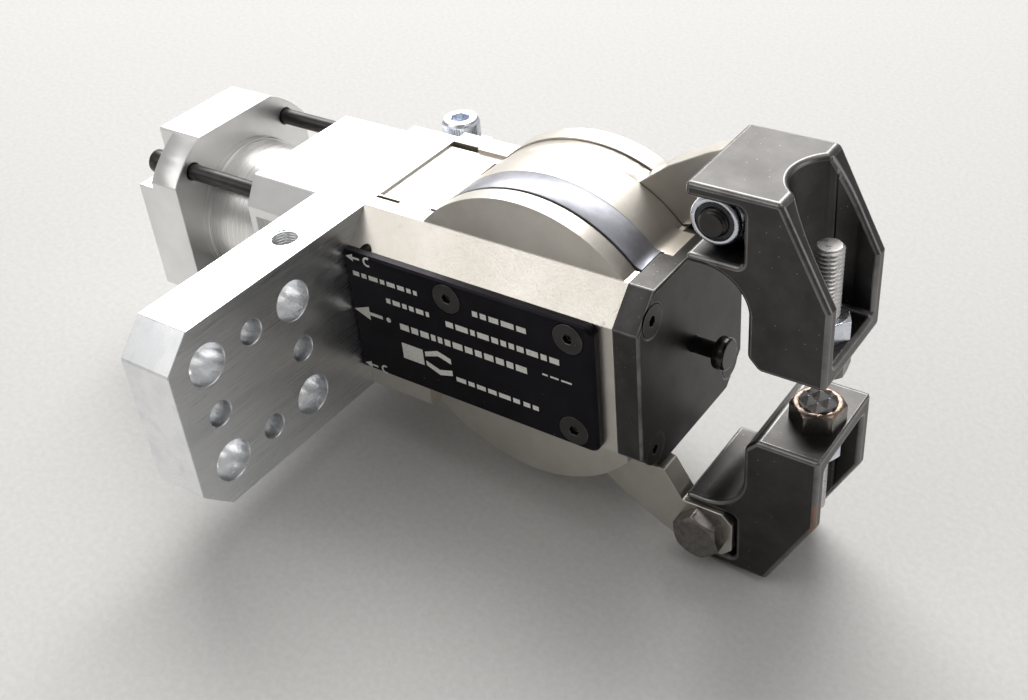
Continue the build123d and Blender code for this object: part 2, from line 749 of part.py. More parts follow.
def contact_screw():
    """Contact screw: a threaded stem with a hexagon head that carries the grip insert."""
    head_height = 6.0
    head = hex_with_bevel(14.0, head_height)
    head -= rod_z(head_height - 1.6, head_height + 1, INSERT_R + 0.1)
    head = Rot(180, 0, -CONTACT_TURN) * head
    stem = rod_z(0, STUD_TOP - JAW_BOTTOM, M8_R, bevel=0.6)
    return Pos(STUD_X, 0, JAW_BOTTOM) * (head + stem)


def grip_insert():
    """Hard insert with a field of pyramids on its face."""
    insert = rod_z(0, JAW_BOTTOM - 4.4 - PAD_FACE, INSERT_R)
    half = TEETH_PITCH / 2 - 0.1
    groove = polygon([(-half, -0.01), (half, -0.01), (0, TEETH_DEPTH)])
    for step in (-1, 0, 1):
        insert -= slab(Pos(step * TEETH_PITCH, 0) * groove, -7, 7)
        insert -= bar_of(Pos(step * TEETH_PITCH, 0) * groove, -7, 7)
    return Pos(STUD_X, 0, PAD_FACE) * Rot(0, 0, TEETH_TURN) * insert


def lock_nut():
    nut = hex_with_bevel(13.0, 6.5) - rod_z(-1, 8, M8_R + RUNNING)
    return Pos(STUD_X, 0, POCKET_FLOOR) * nut


# ---- release pin ----

def release_pin():
    shaft = rod_x(PIN_END, PIN_HEAD_X[0], PIN_R)
    collar = rod_x(COLLAR_X[0], COLLAR_X[1], COLLAR_R)
    head = rod_x(PIN_HEAD_X[0], PIN_HEAD_X[1], PIN_HEAD_R, bevel=0.5)
    return shaft + collar + head


def release_spring():
    """Return spring, wound from round wire between its seat and the pin's collar."""
    wire_r = 0.45
    coil_r = 3.9
    length = COLLAR_X[0] - SPRING_SEAT - 2 * wire_r - 0.2
    path = Helix(pitch=length / 5, height=length, radius=coil_r)
    section = Plane(origin=path @ 0, z_dir=path % 0) * Circle(wire_r)
    coil = sweep(section, path=path, is_frenet=True)
    return Pos(SPRING_SEAT + wire_r + 0.1, 0, 0) * Rot(0, 90, 0) * coil


# ---- all the pieces ----

def pieces():
    made = {
        "mount_plate": mount_plate(),
        "tab_screw": tab_screw(),
        "head_housing": head_housing(),
        "front_cover": front_cover(),
        "cover_screws": cover_screws(),
        "label_plate": side_plate(-1, LABEL_SCREWS),
        "label_screws": side_screws(-1, LABEL_SCREWS),
        "side_cover": side_plate(1, SIDE_SCREWS),
        "side_cover_screws": side_screws(1, SIDE_SCREWS),
        "front_cap": front_cap(),
        "rear_cap": rear_cap(),
        "cylinder_barrel": cylinder_barrel(),
        "barrel_seals": barrel_seals(),
        "tie_rods": tie_rods(),
        "tie_rod_nuts": tie_rod_nuts(),
        "rod_bush": rod_bush(),
        "rod_seal": rod_seal(),
        "rod_wiper": rod_wiper(),
        "piston": piston(),
        "piston_seals": piston_seals(),
        "piston_guide_ring": piston_guide_ring(),
        "piston_rod": piston_rod(),
        "piston_nut": piston_nut(),
        "crosshead": crosshead(),
        "cross_pin": cross_pin(),
        "cam_rollers": cam_rollers(),
        "release_pin": release_pin(),
        "release_spring": release_spring(),
    }
    paired = {
        "guard_strip": guard_strip,
        "arm": jaw_arm,
        "pivot_bush": pivot_bush,
        "pivot_pin": pivot_pin,
        "jaw": jaw,
        "arm_bolt": arm_bolt,
        "arm_bolt_nut": arm_bolt_nut,
        "contact_screw": contact_screw,
        "grip_insert": grip_insert,
        "contact_lock_nut": lock_nut,
    }
    for name, make in paired.items():
        upper = make()
        made["upper_" + name] = upper
        made["lower_" + name] = half_turn(upper)
    return made


os.makedirs("parts", exist_ok=True)
for piece_name, piece in pieces().items():
    export_step(TO_FRAME * piece, os.path.join("parts", piece_name + ".step"))
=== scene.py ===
import json
import math
import random

import bmesh
import bpy
from mathutils import Matrix, Vector


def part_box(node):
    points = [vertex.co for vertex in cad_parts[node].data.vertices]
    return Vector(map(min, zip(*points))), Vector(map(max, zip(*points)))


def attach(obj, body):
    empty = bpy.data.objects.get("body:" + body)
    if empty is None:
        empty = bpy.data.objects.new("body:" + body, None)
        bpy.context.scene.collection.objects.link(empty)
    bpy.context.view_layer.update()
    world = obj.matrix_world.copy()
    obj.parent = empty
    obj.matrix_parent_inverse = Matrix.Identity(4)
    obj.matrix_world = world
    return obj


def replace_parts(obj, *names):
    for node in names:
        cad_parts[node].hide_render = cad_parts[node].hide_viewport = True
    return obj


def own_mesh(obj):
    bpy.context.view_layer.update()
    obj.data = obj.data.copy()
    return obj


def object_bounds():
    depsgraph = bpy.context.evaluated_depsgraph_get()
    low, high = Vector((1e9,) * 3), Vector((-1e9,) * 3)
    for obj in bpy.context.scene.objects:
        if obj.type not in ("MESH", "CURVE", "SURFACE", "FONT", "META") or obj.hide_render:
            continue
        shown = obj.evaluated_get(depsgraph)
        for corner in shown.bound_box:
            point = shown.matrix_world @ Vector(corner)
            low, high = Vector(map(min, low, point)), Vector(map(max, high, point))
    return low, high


# Looks of the two-jaw pneumatic gripper.  Lengths are millimetres in names that end in _MM
# or _mm, in textures and in the label's outlines, and metres elsewhere.  Every piece stands
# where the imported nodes' boxes or mounts say.  The camera, the floor and the layout of the
# label's print have measured values of their own, named below.

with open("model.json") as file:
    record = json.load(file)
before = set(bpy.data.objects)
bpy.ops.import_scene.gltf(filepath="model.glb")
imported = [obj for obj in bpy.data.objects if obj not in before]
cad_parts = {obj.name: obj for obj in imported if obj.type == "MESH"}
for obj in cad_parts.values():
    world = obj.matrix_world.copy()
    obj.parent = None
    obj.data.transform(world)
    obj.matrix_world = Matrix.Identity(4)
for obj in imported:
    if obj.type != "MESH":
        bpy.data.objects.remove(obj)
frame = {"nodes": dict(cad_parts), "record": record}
nodes = frame["nodes"]
cad_low, cad_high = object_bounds()

MM = 0.001

# ---- driving dimensions ----

M8_MAJOR = 4.0 * MM
M8_MINOR = 3.35 * MM
M8_PITCH = 1.25 * MM
BOLT_HALF_FLATS = 7.0 * MM
BOLT_HEAD = 5.3 * MM
BOLT_CORNER = math.radians(41.0)
CONTACT_HEAD = 6.0 * MM
CONTACT_RECESS = 1.6 * MM
CONTACT_RECESS_R = 5.4 * MM
CONTACT_CORNER = math.radians(37.0)
TURNED_FACE = 0.95
TURNED_ANGLE = math.radians(30)
THREAD_LEAD = 0.7 * MM
BOLT_THREAD = 14.0 * MM
NUT_HEX = 5.6 * MM
NUT_COLLAR_R = 7.3 * MM
NYLON_R = 5.6 * MM
TIE_ROD_R = 2.75 * MM
TIE_THREAD = 12.0 * MM
TIE_PITCH = 0.8 * MM
BORE_R = 20.0 * MM
BARREL_R = 24.15 * MM
COLLAR_LENGTH = 3.0 * MM
COLLAR_FROM_REAR = 6.0 * MM
PORT_PITCH = 0.91 * MM
PORT_THREAD_DEPTH = 0.5 * MM
TAB_SCREW_HEAD_R = 6.5 * MM
TAB_SCREW_HEAD = 8.0 * MM
TAB_SOCKET_HALF = 3.0 * MM
TAB_SOCKET_DEPTH = 4.5 * MM
SPRING_WIRE_R = 0.45 * MM
SPRING_TURNS = 5
KNURL_TEETH = 48
KNURL_DEPTH = 0.28 * MM
PRINT_THICK = 0.05 * MM
FLOOR_TILT = math.atan(0.1407)
FLOOR_Z = -48.3 * MM
CAMERA_PLACE = (0.246936, -0.194016, 0.226298)
CAMERA_RIGHT = (0.8192189, 0.5675137, -0.0825141)
CAMERA_UP = (-0.2841650, 0.5266838, 0.8011582)
CAMERA_SENSOR_MM = 36.0
CAMERA_LENS_MM = 45.351

# points round a head or nut, round an M8 thread and round a tie rod
HEAD_POINTS = 96
THREAD_POINTS = 64
ROD_POINTS = 40

BODY = "gripper_frame"
SIDES = ("upper", "lower")


# ---- mesh helpers ----

def add_object(name, bm, material, smooth=38.0):
    """Turns a bmesh into an object with smooth faces and sharp edges above the angle."""
    bmesh.ops.remove_doubles(bm, verts=bm.verts, dist=1e-7)
    bmesh.ops.recalc_face_normals(bm, faces=bm.faces)
    mesh = bpy.data.meshes.new(name)
    bm.to_mesh(mesh)
    bm.free()
    mesh.materials.append(material)
    mesh.polygons.foreach_set("use_smooth", [True] * len(mesh.polygons))
    mesh.set_sharp_from_angle(angle=math.radians(smooth))
    piece = bpy.data.objects.new(name, mesh)
    bpy.context.scene.collection.objects.link(piece)
    return piece


def add_rings(bm, rings, close_start=True, close_end=True):
    """Joins rings of points (each a list of Vectors, all the same length) into a closed skin."""
    rows = [[bm.verts.new(point) for point in ring] for ring in rings]
    count = len(rows[0])
    for low, high in zip(rows, rows[1:]):
        for i in range(count):
            j = (i + 1) % count
            bm.faces.new((low[i], low[j], high[j], high[i]))
    if close_start:
        bm.faces.new(list(reversed(rows[0])))
    if close_end:
        bm.faces.new(rows[-1])
    return rows


def circle(radius, z, count):
    return [
        Vector((radius * math.cos(2 * math.pi * i / count),
                radius * math.sin(2 * math.pi * i / count), z))
        for i in range(count)
    ]


def tube(bm, profile, count=64):
    """Ring of revolution about Z from a closed loop of (radius, z) pairs."""
    rows = [[bm.verts.new(point) for point in circle(radius, z, count)] for radius, z in profile]
    rows.append(rows[0])
    for low, high in zip(rows, rows[1:]):
        for i in range(count):
            j = (i + 1) % count
            bm.faces.new((low[i], low[j], high[j], high[i]))


def thread_radius(s, i, count, major, minor, pitch):
    """Radius of a V thread at height s and angle step i."""
    phase = (s / pitch - i / count) % 1.0
    rise = 1.0 - abs(2.0 * phase - 1.0)
    share = min(1.0, max(0.0, (rise - 0.12) / 0.7))
    return minor + (major - minor) * share


def threaded_rings(z0, z1, major, minor, pitch, lead_start, lead_end, count):
    """Rings of a threaded stem; the leads are the heights of the cone at each end."""
    steps = max(2, int(round((z1 - z0) / pitch * 8)))
    rings = []
    for k in range(steps + 1):
        z = z0 + (z1 - z0) * k / steps
        limit = major
        if lead_start:
            limit = min(limit, major - max(0.0, lead_start - (z - z0)))
        if lead_end:
            limit = min(limit, major - max(0.0, lead_end - (z1 - z)))
        ring = []
        for i in range(count):
            radius = min(limit, thread_radius(z, i, count, major, minor, pitch))
            angle = 2 * math.pi * i / count
            ring.append(Vector((radius * math.cos(angle), radius * math.sin(angle), z)))
        rings.append(ring)
    return rings


def hexagon_ring(half_flats, z, limit, count=HEAD_POINTS, phase=0.0):
    """Hexagon outline whose corners are cut back to a circle, for turned corners."""
    ring = []
    for i in range(count):
        angle = 2 * math.pi * i / count
        inside = (angle + phase) % (math.pi / 3) - math.pi / 6
        radius = min(half_flats / math.cos(inside), limit)
        ring.append(Vector((radius * math.cos(angle), radius * math.sin(angle), z)))
    return ring


def stand(piece, place, direction, across=(1.0, 0.0, 0.0)):
    """Stands a mesh drawn about Z at a place: its Z along the direction, its X across it."""
    up = Vector(direction).normalized()
    side = Vector(across).normalized()
    turn = Matrix((side, up.cross(side), up)).transposed().to_4x4()
    piece.data.transform(Matrix.Translation(place) @ turn)
    piece.data.update()
    return piece


def middle(node):
    low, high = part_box(node)
    return (low + high) / 2


# ---- shader helpers ----

class Look:
    """One procedural material.  Textures use the piece's own coordinates in millimetres."""

    def __init__(self, name, colour, metallic, roughness):
        self.material = bpy.data.materials.new(name)
        self.material.use_nodes = True
        self.tree = self.material.node_tree
        self.shader = self.tree.nodes["Principled BSDF"]
        self.shader.inputs["Base Color"].default_value = (*colour, 1.0)
        self.shader.inputs["Metallic"].default_value = metallic
        self.shader.inputs["Roughness"].default_value = roughness
        coordinates = self.tree.nodes.new("ShaderNodeTexCoord")
        scaled = self.tree.nodes.new("ShaderNodeVectorMath")
        scaled.operation = "SCALE"
        scaled.inputs["Scale"].default_value = 1000.0
        self.tree.links.new(coordinates.outputs["Object"], scaled.inputs[0])
        self.place = scaled.outputs["Vector"]

    def link(self, output, target):
        self.tree.links.new(output, target)

    def set(self, socket, value):
        """Connects an output to a node's input, or writes a constant there."""
        if isinstance(value, bpy.types.NodeSocket):
            self.link(value, socket)
        elif isinstance(value, tuple):
            socket.default_value = (*value, 1.0) if len(socket.default_value) == 4 else value
        else:
            socket.default_value = value

    def stretched(self, factors):
        node = self.tree.nodes.new("ShaderNodeVectorMath")
        node.operation = "MULTIPLY"
        self.link(self.place, node.inputs[0])
        node.inputs[1].default_value = factors
        return node.outputs["Vector"]

    def noise(self, scale, detail=3.0, rough=0.55, place=None, distortion=0.0):
        node = self.tree.nodes.new("ShaderNodeTexNoise")
        self.link(place or self.place, node.inputs["Vector"])
        node.inputs["Scale"].default_value = scale
        node.inputs["Detail"].default_value = detail
        node.inputs["Roughness"].default_value = rough
        node.inputs["Distortion"].default_value = distortion
        return node.outputs["Fac"]

    def cells(self, scale, place=None):
        """Distance to scattered points, and a random value for each."""
        node = self.tree.nodes.new("ShaderNodeTexVoronoi")
        self.link(place or self.place, node.inputs["Vector"])
        node.inputs["Scale"].default_value = scale
        return node.outputs["Distance"], node.outputs["Color"]

    def ramp(self, value, low, high, out_low=0.0, out_high=1.0):
        node = self.tree.nodes.new("ShaderNodeMapRange")
        node.inputs["From Min"].default_value = low
        node.inputs["From Max"].default_value = high
        node.inputs["To Min"].default_value = out_low
        node.inputs["To Max"].default_value = out_high
        self.link(value, node.inputs["Value"])
        return node.outputs["Result"]

    def math(self, operation, a, b=0.0):
        node = self.tree.nodes.new("ShaderNodeMath")
        node.operation = operation
        self.set(node.inputs[0], a)
        self.set(node.inputs[1], b)
        return node.outputs["Value"]

    def mix(self, share, a, b):
        node = self.tree.nodes.new("ShaderNodeMix")
        node.data_type = "RGBA"
        self.set(node.inputs[0], share)
        self.set(node.inputs[6], a)
        self.set(node.inputs[7], b)
        return node.outputs[2]

    def axis(self, letter):
        node = self.tree.nodes.new("ShaderNodeSeparateXYZ")
        self.link(self.place, node.inputs[0])
        return node.outputs[letter]

    def colour(self, output):
        self.link(output, self.shader.inputs["Base Color"])

    def roughness(self, output):
        self.link(output, self.shader.inputs["Roughness"])

    def metallic(self, output):
        self.link(output, self.shader.inputs["Metallic"])

    def bump(self, height, depth_mm, strength=1.0, after=None):
        node = self.tree.nodes.new("ShaderNodeBump")
        node.inputs["Strength"].default_value = strength
        node.inputs["Distance"].default_value = depth_mm * MM
        self.link(height, node.inputs["Height"])
        if after is not None:
            self.link(after, node.inputs["Normal"])
        self.link(node.outputs["Normal"], self.shader.inputs["Normal"])
        return node.outputs["Normal"]

    def rounded(self, radius_mm):
        """Normal that rounds the piece's edges without changing its mesh."""
        node = self.tree.nodes.new("ShaderNodeBevel")
        node.samples = 6
        node.inputs["Radius"].default_value = radius_mm * MM
        return node.outputs["Normal"]

    def specks(self, per_mm, size, share):
        """Mask of small scattered specks, one where the cell's random value is high."""
        distance, value = self.cells(per_mm)
        near = self.ramp(distance, size, size * 0.5)
        chosen = self.tree.nodes.new("ShaderNodeSeparateColor")
        self.link(value, chosen.inputs[0])
        kept = self.math("GREATER_THAN", chosen.outputs[0], 1.0 - share)
        return self.math("MULTIPLY", near, kept)


def nickel():
    """Satin nickel over fine milling: warm, with faint clouds and handling stains."""
    look = Look("nickel_plated_look", (0.65, 0.62, 0.57), 1.0, 0.36)
    clouds = look.noise(0.06, 4.0, 0.6)
    grain = look.noise(2.2, 3.0, 0.6)
    tone = look.mix(look.ramp(clouds, 0.35, 0.7), (0.60, 0.565, 0.51), (0.69, 0.66, 0.61))
    stains = look.ramp(look.noise(0.35, 6.0, 0.7), 0.62, 0.75)
    look.colour(look.mix(look.math("MULTIPLY", stains, 0.35), tone, (0.44, 0.40, 0.34)))
    gloss = look.ramp(grain, 0.3, 0.7, 0.29, 0.42)
    look.roughness(look.math("ADD", gloss, look.math("MULTIPLY", stains, 0.1)))
    look.bump(grain, 0.012, 0.7, look.rounded(0.35))
    return look.material


def milled_aluminium():
    """Bright aluminium with cutter streaks along Y and a few rubbed patches."""
    look = Look("milled_aluminium_look", (0.86, 0.87, 0.88), 1.0, 0.22)
    streaks = look.noise(1.0, 4.0, 0.65, look.stretched((3.0, 0.035, 3.0)))
    fine = look.noise(1.0, 2.0, 0.5, look.stretched((14.0, 0.12, 14.0)))
    broad = look.noise(1.0, 3.0, 0.5, look.stretched((0.12, 0.015, 0.12)))
    rubbed = look.ramp(look.noise(0.09, 6.0, 0.7, None, 0.6), 0.56, 0.70)
    tone = look.mix(look.ramp(streaks, 0.35, 0.65), (0.80, 0.81, 0.83), (0.92, 0.925, 0.93))
    tone = look.mix(look.ramp(broad, 0.45, 0.62, 0.0, 0.3), tone, (0.62, 0.64, 0.67))
    look.colour(look.mix(look.math("MULTIPLY", rubbed, 0.25), tone, (0.56, 0.57, 0.58)))
    gloss = look.ramp(streaks, 0.3, 0.7, 0.24, 0.38)
    look.roughness(look.math("ADD", gloss, look.math("MULTIPLY", rubbed, 0.15)))
    first = look.bump(streaks, 0.02, 0.5)
    look.bump(fine, 0.008, 0.5, first)
    return look.material


def satin_aluminium():
    """Sandblasted, clear anodised cylinder ends."""
    look = Look("satin_aluminium_look", (0.80, 0.80, 0.79), 1.0, 0.38)
    grain = look.noise(3.0, 3.0, 0.6)
    clouds = look.noise(0.05, 3.0, 0.6)
    look.colour(look.mix(look.ramp(clouds, 0.35, 0.7), (0.76, 0.76, 0.75), (0.86, 0.86, 0.85)))
    look.roughness(look.ramp(grain, 0.3, 0.7, 0.32, 0.44))
    look.bump(grain, 0.012, 0.5)
    return look.material


def turned_aluminium():
    """Turned barrel: fine rings round it."""
    look = Look("turned_aluminium_look", (0.80, 0.79, 0.78), 1.0, 0.3)
    rings = look.noise(1.0, 3.0, 0.6, look.stretched((4.0, 0.01, 0.01)))
    broad = look.noise(1.0, 2.0, 0.5, look.stretched((0.6, 0.01, 0.01)))
    tone = look.mix(look.ramp(broad, 0.35, 0.65), (0.74, 0.73, 0.71), (0.86, 0.85, 0.83))
    look.colour(look.mix(look.ramp(rings, 0.45, 0.65, 0.0, 0.35), tone, (0.60, 0.59, 0.58)))
    look.roughness(look.ramp(rings, 0.3, 0.7, 0.24, 0.36))
    look.bump(rings, 0.015, 0.5)
    return look.material


def bare_steel():
    """Ground spring steel: bluish grey with large soft patches."""
    look = Look("bare_steel_look", (0.33, 0.33, 0.37), 1.0, 0.42)
    patches = look.ramp(look.noise(0.06, 5.0, 0.65, None, 0.4), 0.45, 0.70)
    grain = look.noise(1.6, 4.0, 0.65)
    tone = look.mix(look.ramp(grain, 0.3, 0.7), (0.31, 0.315, 0.35), (0.37, 0.375, 0.41))
    look.colour(look.mix(look.math("MULTIPLY", patches, 0.7), tone, (0.17, 0.175, 0.195)))
    look.roughness(look.ramp(grain, 0.3, 0.7, 0.38, 0.48))
    look.bump(grain, 0.006, 0.4)
    return look.material


def carbide():
    """Hard insert: plain grey, finely ground."""
    look = Look("carbide_look", (0.34, 0.335, 0.33), 1.0, 0.3)
    grain = look.noise(2.0, 4.0, 0.65)
    look.colour(look.mix(look.ramp(grain, 0.3, 0.7), (0.28, 0.275, 0.27), (0.42, 0.415, 0.41)))
    look.roughness(look.ramp(grain, 0.3, 0.7, 0.26, 0.38))
    look.bump(grain, 0.008, 0.4)
    return look.material


def black_oxide(name, edges):
    """Blackened steel with a little dust; edges=True is the rubbed form for bevelled edges."""
    look = Look(name, (0.11, 0.108, 0.108), 1.0, 0.4)
    clouds = look.noise(0.10, 4.0, 0.6)
    grain = look.noise(2.6, 3.0, 0.65)
    tone = look.mix(look.ramp(clouds, 0.3, 0.7), (0.052, 0.050, 0.049), (0.080, 0.077, 0.076))
    dust = look.specks(0.6, 0.10, 0.30)
    gloss = look.ramp(grain, 0.3, 0.7, 0.33, 0.42)
    if edges:
        rubbed = look.ramp(look.noise(0.12, 3.0, 0.6), 0.30, 0.55, 0.45, 1.0)
        tone = look.mix(rubbed, tone, (0.20, 0.195, 0.19))
        gloss = look.ramp(grain, 0.3, 0.7, 0.28, 0.36)
    look.colour(look.mix(look.math("MULTIPLY", dust, 0.6), tone, (0.60, 0.58, 0.55)))
    look.roughness(look.math("ADD", gloss, look.math("MULTIPLY", dust, 0.3)))
    look.metallic(look.ramp(dust, 0.0, 1.0, 1.0, 0.4))
    look.bump(grain, 0.012, 0.5)
    return look.material


def rusted_oxide():
    """The lower jaw's rubbed edges, with a coppery mark on the near front corner."""
    low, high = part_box("lower_jaw")
    look = Look("rusted_edge_look", (0.30, 0.29, 0.28), 1.0, 0.32)
    grain = look.noise(2.6, 3.0, 0.65)
    rubbed = look.ramp(look.noise(0.12, 3.0, 0.6), 0.30, 0.55, 0.45, 1.0)
    tone = look.mix(rubbed, (0.073, 0.070, 0.069), (0.20, 0.195, 0.19))
    front = look.ramp(look.axis("X"), high.x / MM - 2.5, high.x / MM - 1.0)
    near = look.ramp(look.axis("Y"), low.y / MM + 3.0, low.y / MM + 1.5)
    worn = look.ramp(look.noise(0.5, 4.0, 0.65), 0.40, 0.55)
    corner = look.ramp(look.axis("Z"), low.z / MM + 38.0, low.z / MM + 34.0)
    edge = look.math("MULTIPLY", front, near)
    mark = look.math("MULTIPLY", edge, look.math("MULTIPLY", worn, corner))
    look.colour(look.mix(look.math("MULTIPLY", mark, 0.55), tone, (0.45, 0.20, 0.09)))
    gloss = look.ramp(grain, 0.3, 0.7, 0.28, 0.36)
    look.roughness(look.math("ADD", gloss, look.math("MULTIPLY", mark, 0.15)))
    look.bump(grain, 0.012, 0.5)
    return look.material


def glossy_black():
    """Polished black pin."""
    look = Look("glossy_black_look", (0.030, 0.029, 0.029), 0.7, 0.2)
    clouds = look.noise(0.5, 3.0, 0.6)
    look.colour(look.mix(look.ramp(clouds, 0.35, 0.65), (0.022, 0.021, 0.021), (0.045, 0.043, 0.042)))
    look.roughness(look.ramp(clouds, 0.3, 0.7, 0.15, 0.25))
    look.bump(look.noise(3.0, 2.0, 0.6), 0.004, 0.4)
    return look.material


def black_anodised():
    """Black anodised plate: satin, with a faint purple cast where it catches the light."""
    look = Look("black_anodised_look", (0.014, 0.013, 0.016), 1.0, 0.36)
    grain = look.noise(3.2, 2.0, 0.6)
    clouds = look.noise(0.05, 3.0, 0.6)
    dust = look.specks(0.35, 0.09, 0.2)
    tone = look.mix(look.ramp(clouds, 0.3, 0.7), (0.011, 0.010, 0.013), (0.018, 0.017, 0.021))
    look.colour(look.mix(look.math("MULTIPLY", dust, 0.4), tone, (0.4, 0.39, 0.37)))
    look.roughness(look.ramp(grain, 0.3, 0.7, 0.32, 0.42))
    look.bump(grain, 0.006, 0.4)
    return look.material


def zinc():
    """Bright zinc plate with a cool cast and faint clouding."""
    look = Look("zinc_plated_look", (0.70, 0.73, 0.79), 1.0, 0.25)
    clouds = look.noise(0.4, 4.0, 0.6)
    tone = look.mix(look.ramp(clouds, 0.35, 0.65), (0.62, 0.66, 0.74), (0.78, 0.80, 0.84))
    look.colour(tone)
    look.roughness(look.ramp(clouds, 0.3, 0.7, 0.2, 0.34))
    look.bump(look.noise(2.5, 3.0, 0.6), 0.008, 0.4)
    return look.material


def dark_bolt():
    """Plain dark steel with brownish wear."""
    look = Look("dark_steel_bolt_look", (0.14, 0.125, 0.115), 1.0, 0.36)
    patches = look.noise(0.45, 5.0, 0.7)
    tone = look.mix(look.ramp(patches, 0.35, 0.65), (0.16, 0.150, 0.142), (0.27, 0.250, 0.232))
    look.colour(tone)
    look.roughness(look.ramp(patches, 0.3, 0.7, 0.44, 0.28))
    look.bump(look.noise(2.4, 3.0, 0.6), 0.01, 0.5)
    return look.material


def copper_edge():
    """Turned corners of the contact screws, worn to a coppery tone."""
    look = Look("copper_edge_look", (0.50, 0.31, 0.21), 1.0, 0.3)
    patches = look.noise(0.5, 4.0, 0.65)
    look.colour(look.mix(look.ramp(patches, 0.38, 0.6), (0.32, 0.22, 0.165), (0.15, 0.13, 0.12)))
    look.roughness(look.ramp(patches, 0.3, 0.7, 0.24, 0.38))
    look.bump(look.noise(2.4, 2.0, 0.6), 0.008, 0.4)
    return look.material


def bright_thread():
    """Thread flanks rubbed bright, brownish in places."""
    look = Look("bright_thread_look", (0.5, 0.48, 0.46), 1.0, 0.28)
    patches = look.noise(0.5, 5.0, 0.7)
    look.colour(look.mix(look.ramp(patches, 0.4, 0.62), (0.82, 0.81, 0.80), (0.62, 0.59, 0.57)))
    look.roughness(look.ramp(patches, 0.3, 0.7, 0.22, 0.4))
    look.bump(look.noise(2.4, 2.0, 0.6), 0.008, 0.4)
    return look.material


def plain_look(name, dark, light, metallic, rough_low, rough_high, grain_scale=2.0, depth=0.01):
    """Two-tone material for hidden or small pieces."""
    look = Look(name, dark, metallic, rough_low)
    clouds = look.noise(0.3, 4.0, 0.6)
    look.colour(look.mix(look.ramp(clouds, 0.35, 0.65), dark, light))
    grain = look.noise(grain_scale, 3.0, 0.6)
    look.roughness(look.ramp(grain, 0.3, 0.7, rough_low, rough_high))
    look.bump(grain, depth, 0.5)
    return look.material


def front_cover_look(name, edges):
    """Charcoal cover with white scuffs at its lower near edge."""
    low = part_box("front_cover")[0]
    look = Look(name, (0.07, 0.068, 0.068), 1.0, 0.42)
    clouds = look.noise(0.1, 4.0, 0.6)
    grain = look.noise(2.4, 3.0, 0.65)
    tone = look.mix(look.ramp(clouds, 0.3, 0.7), (0.048, 0.046, 0.045), (0.075, 0.072, 0.071))
    scratch = look.noise(1.0, 5.0, 0.75, look.stretched((0.9, 0.9, 0.25)))
    near = look.ramp(look.axis("Y"), low.y / MM + 9.0, low.y / MM + 1.0)
    bottom = look.ramp(look.axis("Z"), low.z / MM + 18.0, low.z / MM + 8.0)
    area = look.math("MULTIPLY", near, bottom)
    scuffs = look.math("MULTIPLY", look.ramp(scratch, 0.66, 0.74), area)
    dust = look.specks(0.8, 0.14, 0.3)
    if edges:
        rubbed = look.ramp(look.noise(0.12, 3.0, 0.6), 0.30, 0.55, 0.3, 0.8)
        tone = look.mix(rubbed, tone, (0.24, 0.235, 0.23))
    marks = look.math("MAXIMUM", scuffs, look.math("MULTIPLY", dust, 0.3))
    look.colour(look.mix(marks, tone, (0.62, 0.60, 0.58)))
    gloss = look.ramp(grain, 0.3, 0.7, 0.36, 0.48)
    look.roughness(look.math("ADD", gloss, look.math("MULTIPLY", marks, 0.2)))
    look.bump(grain, 0.014, 0.6)
    return look.material


def white_print():
    """Worn white ink."""
    look = Look("white_print_look", (0.78, 0.77, 0.72), 0.0, 0.6)
    worn = look.noise(1.6, 4.0, 0.7)
    look.colour(look.mix(look.ramp(worn, 0.55, 0.75), (0.80, 0.79, 0.74), (0.45, 0.44, 0.41)))
    look.bump(worn, 0.005, 0.4)
    return look.material


NICKEL = nickel()
MILLED = milled_aluminium()
SATIN = satin_aluminium()
TURNED = turned_aluminium()
STEEL = bare_steel()
CARBIDE = carbide()
OXIDE = black_oxide("black_oxide_look", False)
OXIDE_EDGE = black_oxide("black_oxide_edge_look", True)
RUSTED_EDGE = rusted_oxide()
GLOSSY = glossy_black()
COVER = front_cover_look("front_cover_look", False)
COVER_EDGE = front_cover_look("front_cover_edge_look", True)
ANODISED = black_anodised()
ZINC = zinc()
BOLT = dark_bolt()
THREAD = bright_thread()
COPPER = copper_edge()
PRINT = white_print()
CHROME = plain_look("hard_chrome_look", (0.66, 0.66, 0.67), (0.74, 0.74, 0.75), 1.0, 0.08, 0.16)
BRONZE = plain_look("bronze_look", (0.55, 0.36, 0.17), (0.68, 0.47, 0.25), 1.0, 0.28, 0.4)
RUBBER = plain_look("seal_rubber_look", (0.010, 0.010, 0.010), (0.022, 0.021, 0.020), 0.0, 0.6, 0.8)
GUIDE = plain_look("guide_plastic_look", (0.16, 0.10, 0.06), (0.25, 0.17, 0.11), 0.0, 0.5, 0.65)
NYLON = plain_look("nylon_ring_look", (0.020, 0.021, 0.024), (0.045, 0.046, 0.05), 0.0, 0.35, 0.5)


# ---- carried-over pieces: soft edges and materials ----

def soften(node, material, width_mm=0.0, edge_material=None, segments=2):
    """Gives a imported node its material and, with a width, small rounded edges."""
    piece = nodes[node]
    mesh = piece.data
    mesh.materials.clear()
    mesh.materials.append(material)
    mesh.polygons.foreach_set("material_index", [0] * len(mesh.polygons))
    if edge_material is not None:
        mesh.materials.append(edge_material)
    if width_mm:
        weld = piece.modifiers.new("weld", "WELD")
        weld.merge_threshold = 1e-6
        flats = piece.modifiers.new("flats", "DECIMATE")
        flats.decimate_type = "DISSOLVE"
        flats.angle_limit = math.radians(0.6)
        bevel = piece.modifiers.new("rounded_edges", "BEVEL")
        bevel.width = width_mm * MM
        bevel.segments = segments
        bevel.limit_method = "ANGLE"
        bevel.angle_limit = math.radians(28.0)
        bevel.use_clamp_overlap = False
        bevel.harden_normals = True
        bevel.miter_outer = "MITER_ARC"
        if edge_material is not None:
            bevel.material = 1
    return piece


